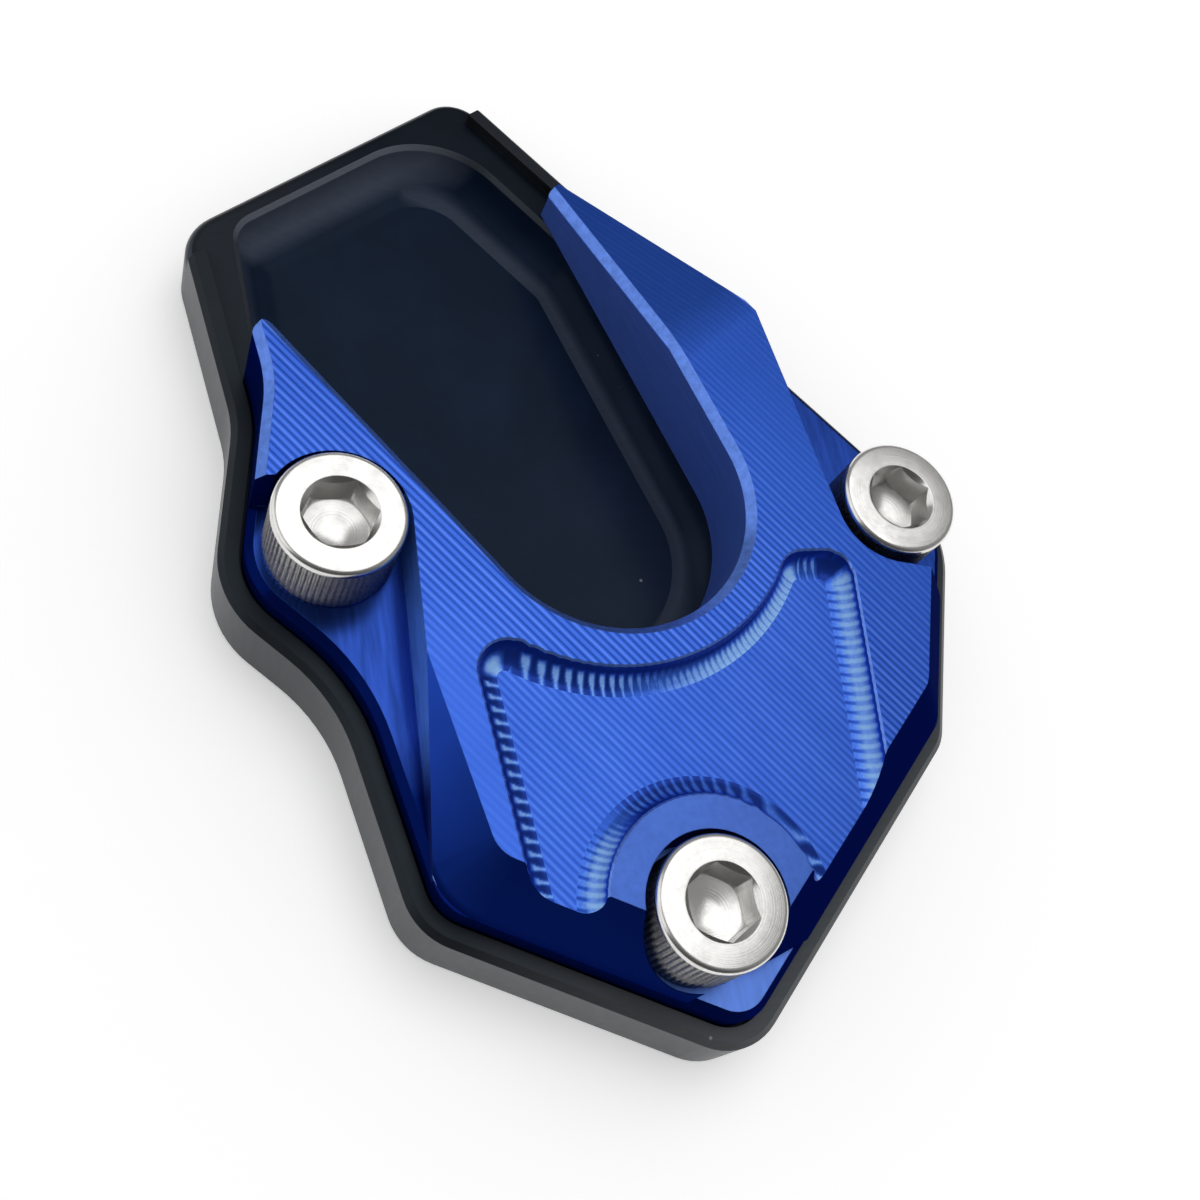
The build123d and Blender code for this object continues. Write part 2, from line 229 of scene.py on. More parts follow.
class CapScrewSettings(bpy.types.PropertyGroup):
    """Sizes and colours of the three socket-head cap screws."""

    left_place: place("Left screw", "Plan place of the left screw", -23.2, 0.0)
    right_place: place("Right screw", "Plan place of the right screw", 23.2, 0.0)
    front_place: place("Front screw", "Plan place of the front screw", 0.0, -31.0)
    left_turn: turn("Left turn", "How far the left socket is turned", 0.0)
    right_turn: turn("Right turn", "How far the right socket is turned", 15.0)
    front_turn: turn("Front turn", "How far the front socket is turned", 30.0)
    seat_height: length("Seat height", "Height that the heads sit at", 9.0)
    head_radius: length("Head radius", "Radius of the head", 5.0)
    head_height: length("Head height", "Height of the head", 6.0)
    head_round: length("Head round", "Radius of the head's upper edge", 0.45)
    head_foot: length("Head foot", "Chamfer under the head", 0.25)
    knurl_depth: length("Knurl depth", "Depth of the grooves round the head", 0.16)
    knurl_below: length("Knurl below", "How far the grooves end below the head's top", 0.75)
    knurl_count: IntProperty(name="Knurl count", description="Grooves round the head", default=66, min=6)
    mouth_radius: length("Mouth radius", "Radius of the countersink round the socket", 2.92)
    socket_flat: length("Socket flat", "From the socket's middle to each flat", 2.5)
    socket_depth: length("Socket depth", "Depth of the hexagon socket", 3.0)
    dimple_radius: length("Dimple radius", "Radius of the flat at the socket's foot", 1.25)
    cone_depth: length("Cone depth", "Depth of the cone below the socket", 0.6)
    shank_radius: length("Shank radius", "Radius over the thread", 3.0)
    shank_length: length("Shank length", "Length of the thread", 8.0)
    thread_pitch: length("Thread pitch", "Rise of the thread in one turn", 1.0)
    thread_depth: length("Thread depth", "Depth of the thread", 0.5)
    steel: colour("Steel", "Colour of the screws", 0.82, 0.81, 0.79)
    knurl_steel: colour("Knurl steel", "Colour of the grooved sides", 0.56, 0.55, 0.54)
    grime: colour("Grime", "Colour of the dirt between the grooves", 0.05, 0.05, 0.05)


class StageSettings(bpy.types.PropertyGroup):
    """Camera, lights and floor."""

    camera_place: place("Camera place", "Where the camera stands", -43.76, -47.01, 111.40)
    camera_aim: place("Camera aim", "Point that the camera looks at", -4.47, -7.43, 14.0)
    camera_roll: turn("Camera roll", "Turn of the camera about its own line of sight", 37.84)
    camera_lens: FloatProperty(
        name="Camera lens", description="Focal length on a 36 mm sensor", default=45.0, unit="CAMERA"
    )
    floor_white: colour("Floor white", "Colour of the floor", 0.86, 0.86, 0.86)
    floor_lift: level("Floor lift", "Glow that keeps the floor white", 0.34)
    sky_level: level("Sky level", "Light from all round", 0.62)
    key_bearing: turn("Key bearing", "Plan direction of the main lamp", 60.0)
    key_rise: turn("Key rise", "How high the main lamp stands", 72.0)
    key_distance: length("Key distance", "How far away the main lamp stands", 600.0)
    key_size: length("Key size", "Width of the main lamp", 460.0)
    key_level: level("Key level", "Brightness of the main lamp", 1.2)
    wall_level: level("Wall level", "Brightness of the grey studio walls", 0.27)
    dark_level: level("Dark level", "Brightness of the walls where they are darkest", 0.07)
    dark_bearing: turn("Dark bearing", "Plan direction of the darkest wall", 252.0)
    window_bearing: turn("Window bearing", "Plan direction of the opening in the walls", 164.0)
    window_half: turn("Window half", "Half of the opening's width", 34.0)
    window_foot: turn("Window foot", "How high the opening starts", 6.0)
    window_rise: turn("Window rise", "How high the opening reaches", 60.0)


PARTS = ("base_plate", "clamp_plate", "cap_screws", "stage")


def settings(part):
    """The property group of one part."""
    return getattr(bpy.context.scene, "foot_enlarger_" + part)


# Shader wiring


class Wire:
    """A shader socket that adds Math nodes when it is used in an expression."""

    def __init__(self, finish, socket):
        self.finish = finish
        self.socket = socket

    def math(self, operation, *values):
        return self.finish.node("ShaderNodeMath", {"operation": operation}, dict(enumerate(values)))

    def __add__(self, other):
        return self.math("ADD", self, other)

    def __sub__(self, other):
        return self.math("SUBTRACT", self, other)

    def __rsub__(self, other):
        return self.math("SUBTRACT", other, self)

    def __mul__(self, other):
        return self.math("MULTIPLY", self, other)

    def __truediv__(self, other):
        return self.math("DIVIDE", self, other)

    def __rtruediv__(self, other):
        return self.math("DIVIDE", other, self)

    def __abs__(self):
        return self.math("ABSOLUTE", self)

    __radd__ = __add__
    __rmul__ = __mul__

    def floor(self):
        return self.math("FLOOR", self)

    def fraction(self):
        return self.math("FRACT", self)

    def larger(self, other):
        return self.math("MAXIMUM", self, other)

    def between(self, low, high):
        """0 below low, 1 above high, and a straight rise between them."""
        return self.finish.node("ShaderNodeMapRange", {"clamp": True}, {0: self, 1: low, 2: high})


class Finish:
    """A procedural material, or the world, under construction."""

    def __init__(self, owner):
        owner.use_nodes = True
        self.owner = owner
        self.tree = owner.node_tree
        self.tree.nodes.clear()

    def node(self, kind, settings=None, inputs=None, output=0):
        """Adds a node: its settings first, then the values or links of its sockets."""
        made = self.tree.nodes.new(kind)
        for key, value in (settings or {}).items():
            setattr(made, key, value)
        for key, value in (inputs or {}).items():
            socket = made.inputs[key]
            if isinstance(value, Wire):
                self.tree.links.new(value.socket, socket)
            elif socket.type == "RGBA":
                socket.default_value = (*value[:3], 1.0)
            else:
                socket.default_value = value
        return Wire(self, made.outputs[output]) if made.outputs else made

    def geometry(self, output):
        """Something that the surface knows of itself, such as its Normal or Position."""
        return self.node("ShaderNodeNewGeometry", output=output)

    def millimetres(self):
        """Place on the object, in millimetres."""
        where = self.node("ShaderNodeTexCoord", output="Object")
        return self.scaled(where, (1 / MM, 1 / MM, 1 / MM))

    def scaled(self, vector, factors):
        return self.node("ShaderNodeVectorMath", {"operation": "MULTIPLY"}, {0: vector, 1: factors})

    def along(self, vector, direction):
        return self.node(
            "ShaderNodeVectorMath", {"operation": "DOT_PRODUCT"}, {0: vector, 1: direction}, "Value"
        )

    def reach(self, vector):
        """How long a vector is."""
        return self.node("ShaderNodeVectorMath", {"operation": "LENGTH"}, {0: vector}, "Value")

    def noise(self, vector, scale, detail=2.0, roughness=0.5):
        return self.node(
            "ShaderNodeTexNoise",
            {},
            {"Vector": vector, "Scale": scale, "Detail": detail, "Roughness": roughness},
        )

    def line_noise(self, number):
        """Noise that changes along one number only."""
        return self.node("ShaderNodeTexNoise", {"noise_dimensions": "1D"}, {"W": number, "Scale": 1.0})

    def chance(self, number):
        """A random number for each whole number."""
        return self.node("ShaderNodeTexWhiteNoise", {"noise_dimensions": "1D"}, {"W": number})

    def specks(self, vector, spacing, size, share):
        """Small dots scattered over the surface: 1 on a dot."""
        cells = {"Vector": vector, "Scale": 1 / spacing, "Randomness": 1.0}
        near = self.node("ShaderNodeTexVoronoi", {}, cells, "Distance")
        cell = self.node("ShaderNodeTexVoronoi", {}, cells, "Color")
        lot = self.along(cell, (1.0, 0.0, 0.0))
        chosen = 1 - lot.between(share, share + 0.01)
        return chosen * (1 - near.between(size * 0.5 / spacing, size / spacing))

    def blend(self, factor, first, second):
        """The first colour where the factor is 0, and the second where it is 1."""
        mixing = {"data_type": "RGBA", "blend_type": "MIX", "clamp_factor": True}
        return self.node("ShaderNodeMix", mixing, {0: factor, 6: first, 7: second}, 2)

    def dusted(self, mixed, vector, spacing, size, share, cover, tint=DUST):
        """The mixed colour with small dots of dust, which cover it by this much."""
        return self.blend(self.specks(vector, spacing, size, share) * cover, mixed, tint)

    def bump(self, height, strength, distance):
        """Small relief on a surface whose edges are shaded a little round."""
        eased = self.node("ShaderNodeBevel", {"samples": EDGE_SAMPLES}, {"Radius": EDGE_ROUND})
        relief = {"Height": height, "Strength": strength, "Distance": distance, "Normal": eased}
        return self.node("ShaderNodeBump", {}, relief)

    def surface(self, **sockets):
        """The shader itself. Names of sockets are written with _ for spaces."""
        inputs = {name.replace("_", " "): value for name, value in sockets.items()}
        shader = self.node("ShaderNodeBsdfPrincipled", {}, inputs)
        self.node("ShaderNodeOutputMaterial", {}, {"Surface": shader})
        return self.owner


def new_finish(name):
    return Finish(bpy.data.materials.new(name))


def grey(brightness):
    """The colour that is as bright as this."""
    return (brightness, brightness, brightness)


def mill_lines(finish, where, sizes, alternate):
    """Raster lines of a mill: 1 on the ridges between its passes, and a tone for each pass.

    Alternate is the share of that tone that changes from one pass to the next."""
    across = (-math.sin(sizes.line_turn), math.cos(sizes.line_turn), 0.0)
    onward = (math.cos(sizes.line_turn), math.sin(sizes.line_turn), 0.0)
    waver = finish.noise(where, scale=0.10)
    lane = finish.along(where, across) / (sizes.line_pitch / MM) + waver * 0.35
    number = lane.floor()
    ridge = abs(lane.fraction() * 2 - 1)
    stretch = finish.along(where, onward) * 0.3 + number * 7.3
    drift = finish.line_noise(stretch)
    every_other = (number * 0.5).fraction() * 2
    others = 1 - alternate
    tone = finish.chance(number) * (others * 0.33) + drift * (others * 0.67) + every_other * alternate
    return ridge, tone


def milled_finish(name, sizes, strongest, weakest, alternate, worn, depth):
    """Blue anodised aluminium with fine mill lines, which fade towards the entry end on the right, with
    painted shade along the lines' ridges and towards the ramp.

    Worn is how far they are also worn away on the narrow strip left of the recess."""
    finish = new_finish(name)
    where = finish.millimetres()
    ridge, tone = mill_lines(finish, where, sizes, alternate)
    fade = finish.along(where, TOWARDS_RAMP).between(4.0, 17.0)
    strip = finish.along(where, TOWARDS_STRIP).between(14.0, 21.0)
    contrast = (strongest - fade * (strongest - weakest)) * (1 - strip * worn)
    ridge_shade = ridge.between(0.35, 0.85)
    crest = 1 - ridge.between(0.0, 0.45)
    patch = finish.noise(where, scale=0.10, detail=3.0)
    grain = finish.noise(where, scale=5.0, detail=3.0, roughness=0.7)
    mixed = finish.blend(crest * tone.between(0.2, 0.7) * contrast, sizes.line_middle, sizes.line_light)
    # Painted shade along the ridges between the mill's passes
    mixed = finish.blend(ridge_shade * (1.1 - tone * 0.6) * contrast, mixed, sizes.line_dark)
    mixed = finish.blend(patch.between(0.40, 0.75) * 0.15, mixed, sizes.line_dark)
    # Painted shade towards the ramp
    mixed = finish.blend(fade * 0.45, mixed, sizes.ramp_shade)
    mixed = finish.blend(grain.between(0.55, 0.80) * 0.20, mixed, sizes.line_light)
    mixed = finish.dusted(mixed, where, spacing=2.6, size=0.12, share=0.04, cover=0.6)
    height = ridge * ridge * contrast * depth + grain * 0.006
    return finish.surface(
        Base_Color=mixed,
        Metallic=0.92,
        Roughness=0.30 + grain * 0.10,
        Specular_Tint=BLUE_GLANCE,
        Normal=finish.bump(height, 1.0, MM),
    )


def smooth_finish(name, blue, share, roughness, streak, metal=1.0, front=None):
    """Blue anodised aluminium with a smoother cut, and streaks that keep this share of its colour.

    Where a front colour is given, it takes over towards the nose."""
    finish = new_finish(name)
    where = finish.millimetres()
    streaks = finish.noise(finish.scaled(where, streak), scale=1.0, detail=3.0, roughness=0.6)
    cloud = finish.noise(where, scale=0.2, detail=2.0)
    darker = [value * share for value in blue]
    mixed = finish.blend(streaks.between(0.3, 0.7), darker, blue)
    if front:
        mixed = finish.blend(finish.along(where, TOWARDS_NOSE).between(15.0, 20.0), mixed, front)
    mixed = finish.dusted(mixed, where, spacing=3.1, size=0.12, share=0.04, cover=0.5)
    return finish.surface(
        Base_Color=mixed,
        Metallic=metal,
        Roughness=roughness + cloud * 0.08,
        Specular_Tint=BLUE_GLANCE,
        Normal=finish.bump(streaks, 0.15, 0.02 * MM),
    )


def facet_finish(name, deep, lit, painted_dark):
    """Polished facets: deep blue, with painted light on the left of the plate's body and painted shade on the
    right, where they are also rougher.
    """
    finish = new_finish(name)
    where = finish.millimetres()
    normal = finish.geometry("Normal")
    leftward = finish.along(normal, LEFT)
    rightward = (0 - leftward).between(0.15, 0.50)
    upward = finish.along(normal, UP).between(0.2, 0.5)
    above_flange = finish.along(where, UP).between(9.2, 9.6)
    forward = finish.along(where, TOWARDS_NOSE).between(12.0, 25.0)
    cloud = finish.noise(where, scale=0.25, detail=3.0)
    # Painted light on the facets that face left and up above the flange, less towards the nose
    painted_light = leftward.between(0.30, 0.75) * upward * above_flange * (1 - forward * 0.8)
    mixed = finish.blend(painted_light * (0.8 + cloud * 0.3), deep, lit)
    # Painted shade on the facets that face right
    mixed = finish.blend(rightward, mixed, painted_dark)
    mixed = finish.dusted(mixed, where, spacing=3.4, size=0.12, share=0.04, cover=0.4)
    return finish.surface(
        Base_Color=mixed,
        Metallic=0.5,
        Roughness=0.16 + cloud * 0.06 + rightward * 0.4,
        Specular_IOR_Level=0.0,
        Specular_Tint=DEEP_GLANCE,
        Normal=finish.bump(cloud, 0.05, 0.02 * MM),
    )


def scallop_finish(name, deep, middle, bright):
    """Walls that a ball-ended mill left in strokes, with painted highlights where the cutter's samples say
    so.
    """
    finish = new_finish(name)
    where = finish.millimetres()
    gleam = finish.node("ShaderNodeAttribute", {"attribute_name": GLEAM}, output="Fac")
    grain = finish.noise(where, scale=3.0, detail=3.0, roughness=0.7)
    shine = gleam * (0.7 + grain * 0.6)
    mixed = finish.blend(shine.between(0.0, 0.5), deep, middle)
    mixed = finish.blend(shine.between(0.4, 1.0), mixed, bright)
    return finish.surface(
        Base_Color=mixed,
        Metallic=0.45 - shine.between(0.3, 0.8) * 0.40,
        Roughness=0.26,
        Specular_Tint=BLUE_GLANCE,
    )


def sheen_towards_nose(finish, where):
    """Painted sheen, lighter towards the nose, most of all on the right."""
    return finish.along(where, TOWARDS_RIM_SHEEN).between(14.0, 36.0)


def sheen_towards_left(finish, where):
    """Painted sheen, lighter towards the left."""
    return finish.along(where, LEFT).between(14.0, 30.0)


def entry_sheen(finish, where):
    """Painted sheen on what faces away from the entry end."""
    return finish.along(finish.geometry("Normal"), FROM_ENTRY).between(0.30, 0.75)


def pocket_wall_sheen(finish, where):
    """Painted sheen on the pocket's wall at the entry, at its round end and where it turns up on the right.
    """
    turned_up = finish.along(finish.geometry("Normal"), FROM_RIGHT_WALL)
    stripe = turned_up.between(0.005, 0.06) * (1 - turned_up.between(0.22, 0.50))
    round_end = finish.along(where, TOWARDS_ROUND_END).between(-15.0, 5.0)
    return entry_sheen(finish, where).larger(stripe * 0.45).larger(round_end * 0.10)


def black_finish(name, black, roughness, shine, sheen_mask=None, sheened=None):
    """Black anodised aluminium: satin, with a fine grain, faint marks of rubbing and a little dust.

    Where a sheen mask is given, it says how far each place takes the colour of a painted sheen."""
    finish = new_finish(name)
    where = finish.millimetres()
    grain = finish.noise(where, scale=14.0, detail=2.0)
    cloud = finish.noise(where, scale=0.16, detail=3.0)
    marks = finish.noise(finish.scaled(where, (0.25, 2.6, 0.6)), scale=1.0, detail=4.0, roughness=0.7)
    lighter = [value * 1.8 + 0.002 for value in black]
    mixed = finish.blend(cloud.between(0.4, 0.8) * 0.5 + marks.between(0.6, 0.8) * 0.3, black, lighter)
    # Painted sheen, where a sheen mask is given
    if sheen_mask:
        mixed = finish.blend((0.6 + marks * 0.4) * sheen_mask(finish, where), mixed, sheened)
    mixed = finish.dusted(mixed, where, spacing=4.2, size=0.18, share=0.10, cover=0.35)
    return finish.surface(
        Base_Color=mixed,
        Metallic=0.0,
        Roughness=roughness + marks * 0.1,
        Specular_IOR_Level=shine,
        Specular_Tint=BLACK_GLANCE,
        Normal=finish.bump(grain, 0.12, 0.02 * MM),
    )


def steel_finish(name, steel, dirt, dirty, roughness):
    """Stainless steel, with turning marks round each screw's own axis and this share of dirt."""
    finish = new_finish(name)
    where = finish.millimetres()
    spun = finish.node("ShaderNodeAttribute", {"attribute_name": FROM_AXIS}, output="Vector")
    rings = finish.line_noise(finish.reach(spun) * 9.0)
    smudge = finish.noise(where, scale=0.7, detail=4.0, roughness=0.6)
    darker = [value * 0.70 for value in steel]
    mixed = finish.blend(smudge.between(0.45, 0.75) * 0.5 + rings.between(0.5, 0.8) * 0.3, steel, darker)
    if dirty:
        spots = finish.noise(where, scale=3.5, detail=3.0, roughness=0.6)
        mixed = finish.blend(spots.between(0.40, 0.65) * dirty, mixed, dirt)
    mixed = finish.dusted(mixed, where, spacing=1.1, size=0.08, share=0.06, cover=0.5, tint=dirt)
    return finish.surface(
        Base_Color=mixed,
        Metallic=1.0,
        Roughness=roughness + smudge * 0.14,
        Normal=finish.bump(rings, 0.25, 0.01 * MM),
    )


# Plan outlines of milled walls


def left_of(direction):
    return Vector((-direction.y, direction.x))


def rising(value, low, high):
    """0 below low, 1 above high, and a straight rise between them."""
    return min(max((value - low) / (high - low), 0.0), 1.0)


class StraightWall:
    """A straight wall, with the cut on the left of its direction."""

    def __init__(self, start, end):
        self.start = Vector(start)
        self.direction = (Vector(end) - self.start).normalized()
        self.normal = left_of(self.direction)

    def foot(self, point):
        return self.start + self.direction * (point - self.start).dot(self.direction)

    def samples(self, first, last, spacing):
        count = max(1, math.ceil((last - first).length / spacing))
        return [(first.lerp(last, step / count), self.normal) for step in range(count)]


class RoundWall:
    """A wall round a pin that is left standing, followed clockwise, with the cut outside."""

    def __init__(self, centre, radius):
        self.centre = Vector(centre)
        self.radius = radius

    def foot(self, point):
        return self.centre + (point - self.centre).normalized() * self.radius

    def samples(self, first, last, spacing):
        return arc_samples(self.centre, first, last, spacing, -1.0)


def arc_samples(centre, first, last, spacing, sense):
    """Points of an arc and the direction into the cut. Sense is 1 anticlockwise and -1 clockwise."""
    radius = (first - centre).length
    begin = math.atan2(first.y - centre.y, first.x - centre.x)
    finish = math.atan2(last.y - centre.y, last.x - centre.x)
    sweep = (sense * (finish - begin)) % math.tau
    count = max(2, math.ceil(sweep * radius / spacing))
    rows = []
    for step in range(count):
        angle = begin + sense * sweep * step / count
        outward = Vector((math.cos(angle), math.sin(angle)))
        rows.append((centre + outward * radius, outward * -sense))
    return rows


def rounding_centre(first, second, radius):
    """Middle of the round of this radius between two walls that follow each other."""
    if isinstance(first, StraightWall) and isinstance(second, StraightWall):
        start = first.start + first.normal * radius
        gap = second.start + second.normal * radius - start
        turned = first.direction.cross(second.direction)
        return start + first.direction * (gap.cross(second.direction) / turned)
    straight, curved = (first, second) if isinstance(first, StraightWall) else (second, first)
    start = straight.start + straight.normal * radius
    nearest = start + straight.direction * (curved.centre - start).dot(straight.direction)
    half = math.sqrt((curved.radius + radius) ** 2 - (curved.centre - nearest).length_squared)
    return nearest + straight.direction * (-half if straight is first else half)


def walled_outline(walls, radii, spacing):
    """Samples of a closed outline: plan point, direction into the cut, and how far that is free."""
    pairs = list(zip(walls, walls[1:] + walls[:1], radii))
    centres = [rounding_centre(first, second, radius) for first, second, radius in pairs]
    rows = []
    for index, (wall, following, radius) in enumerate(pairs):
        begin = wall.foot(centres[index - 1])
        finish = wall.foot(centres[index])
        rows += [(point, inward, math.inf) for point, inward in wall.samples(begin, finish, spacing)]
        bend = arc_samples(centres[index], finish, following.foot(centres[index]), spacing, 1.0)
        rows += [(point, inward, radius) for point, inward in bend]
    return rows


def cut_space(name, loops, floor, top, edge, mill_radius, steps, finishes, bite, gleam):
    """A closed mesh of the space that a ball-ended mill clears inside the first loop and round the others.

    Each sample of a loop has its plan point, the direction into the cut and how far that is free. The
    finishes are those of the upper edge, the wall and the floor. Bite says how far the mill bites into the
    wall, and gleam how bright the wall's painted highlight is at a share of the way down."""
    mesh = bmesh.new()
    layer = mesh.loops.layers.float.new(GLEAM)
    flare = FLARE * edge
    bends = [0.5 * math.pi * step / steps for step in range(1, steps + 1)]
    rows = [(0.0, top - edge + flare, flare), (0.0, top - edge, 0.0)]
    rows += [(bend, floor + mill_radius * (1 - math.sin(bend)), 0.0) for bend in bends]
    rings = []
    tones = {}
    for loop in loops:
        lines = []
        for row, (bend, height, spread) in enumerate(rows):
            line = []
            for point, inward, free in loop:
                inset = min(mill_radius * (1 - math.cos(bend)), CORNER_SHARE * free)
                spot = point + inward * inset
                push = bite(point, inward) * math.cos(bend) + spread
                vertex = mesh.verts.new((*(spot - inward * push), height))
                leant = point + inward * (inset * STROKE_LEAN)
                tones[vertex] = gleam(leant, inward, free, max(row - 1, 0) / steps)
                line.append(vertex)
            lines.append(line)
        for row, (upper, lower) in enumerate(zip(lines, lines[1:])):
            for index in range(len(loop)):
                face = mesh.faces.new((upper[index - 1], upper[index], lower[index], lower[index - 1]))
                face.material_index = finishes[1] if row else finishes[0]
                for corner in face.loops:
                    corner[layer] = tones[corner.vert]
        rings.append(lines)
    for row, finish in ((0, finishes[0]), (-1, finishes[2])):
        edges = [lines[row] for lines in rings]
        corners = [vertex for edge_loop in edges for vertex in edge_loop]
        for triple in tessellate_polygon([[vertex.co for vertex in edge_loop] for edge_loop in edges]):
            mesh.faces.new([corners[index] for index in triple]).material_index = finish
    bmesh.ops.recalc_face_normals(mesh, faces=mesh.faces)
    return object_from(mesh, name)


def object_from(mesh, name):
    """Turns a bmesh into an object in the scene."""
    data = bpy.data.meshes.new(name)
    mesh.to_mesh(data)
    mesh.free()
    made = bpy.data.objects.new(name, data)
    bpy.context.scene.collection.objects.link(made)
    return made


def copy_of_node(node, name):
    """A welded copy of a CAD solid, with its flat faces joined up, as the blank for a finer piece."""
    mesh = bmesh.new()
    mesh.from_mesh(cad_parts[node].data)
    bmesh.ops.remove_doubles(mesh, verts=mesh.verts, dist=WELD_DISTANCE)
    bmesh.ops.dissolve_limit(
        mesh, angle_limit=JOIN_BEND, verts=mesh.verts, edges=mesh.edges, use_dissolve_boundaries=False
    )
    return object_from(mesh, name)


def apply_modifiers(piece):
    """Replaces the mesh with what its modifiers make of it."""
    evaluated = piece.evaluated_get(bpy.context.evaluated_depsgraph_get())
    shaped = bpy.data.meshes.new_from_object(evaluated)
    plain = piece.data
    piece.modifiers.clear()
    piece.data = shaped
    shaped.name = plain.name
    bpy.data.meshes.remove(plain)


def carve(piece, cutter):
    """Takes the cutter's space out of the piece."""
    modifier = piece.modifiers.new("carve", "BOOLEAN")
    modifier.operation = "DIFFERENCE"
    modifier.solver = "EXACT"
    modifier.object = cutter
    apply_modifiers(piece)
    bpy.data.objects.remove(cutter)


def shade(piece):
    """Shades curved surfaces smoothly, and keeps flat faces and sharp edges crisp."""
    taken_over = piece.data.attributes.get("custom_normal")
    if taken_over:
        piece.data.attributes.remove(taken_over)
    mesh = bmesh.new()
    mesh.from_mesh(piece.data)
    for edge in mesh.edges:
        edge.smooth = edge.calc_face_angle(0.0) < PLATE_BEND
    for face in mesh.faces:
        face.smooth = face.normal.z < FLAT_SLOPE and face.calc_area() < FLAT_AREA
    mesh.to_mesh(piece.data)
    mesh.free()


def give_finishes(piece, finishes):
    for finish in finishes:
        piece.data.materials.append(finish)


def hand_over(piece, node):
    """Lets the piece stand for its CAD node."""
    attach(piece, BODY)
    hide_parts(node)


class FOOT_OT_base_plate(bpy.types.Operator):
    """Black base with its scooped pocket"""

    bl_idname = "foot_enlarger.base_plate"
    bl_label = "Base plate"
    bl_options = {"REGISTER", "UNDO"}

    WALL, LEDGE, POCKET, RIM, EDGE = range(5)

    # Upward slopes: the ledge's at least, an outer wall's at most and the pocket's rounded edge's at least
    LEDGE_SLOPE = 0.9
    WALL_SLOPE = 0.03
    EDGE_SLOPE = 0.15

    # From the ledge's height: up to the rim's faces, down to the ledge's own and down to the rounded edge's
    TO_RIM = 0.02 * MM
    TO_LEDGE = 0.1 * MM
    TO_EDGE = 0.8 * MM

    def finishes(self, sizes):
        return [
            black_finish("wall_black", sizes.wall_black, roughness=0.30, shine=0.35),
            # The ledge, the pocket, the rim and the pocket's edge take painted sheen where their masks say
            black_finish(
                "ledge_black", sizes.ledge_black, roughness=0.24, shine=0.12,
                sheen_mask=sheen_towards_left, sheened=sizes.ledge_sheen,
            ),
            black_finish(
                "pocket_black", sizes.pocket_black, roughness=0.20, shine=0.08,
                sheen_mask=pocket_wall_sheen, sheened=sizes.pocket_sheen,
            ),
            black_finish(
                "rim_black", sizes.rim_black, roughness=0.32, shine=0.25,
                sheen_mask=sheen_towards_nose, sheened=sizes.rim_sheen,
            ),
            black_finish(
                "edge_grey", sizes.edge_grey, roughness=0.26, shine=0.40,
                sheen_mask=entry_sheen, sheened=sizes.edge_sheen,
            ),
        ]

    def kind_of(self, face, sizes):
        """Which finish a face takes, by its slope and height."""
        slope = face.normal.z
        above_ledge = face.center.z - sizes.ledge_height
        if above_ledge > self.TO_RIM:
            return self.RIM
        if slope > self.LEDGE_SLOPE and above_ledge > -self.TO_LEDGE:
            return self.LEDGE
        from_middle = face.center.xy - Vector(sizes.pocket_middle)
        if slope < self.WALL_SLOPE and from_middle.dot(face.normal.xy) > 0:
            return self.WALL
        rounded_edge = slope > self.EDGE_SLOPE and above_ledge > -self.TO_EDGE
        return self.EDGE if rounded_edge else self.POCKET

    def execute(self, context):
        sizes = settings("base_plate")
        piece = copy_of_node("base_plate", "base")
        shade(piece)
        give_finishes(piece, self.finishes(sizes))
        for face in piece.data.polygons:
            face.material_index = self.kind_of(face, sizes)
        hand_over(piece, "base_plate")
        return {"FINISHED"}


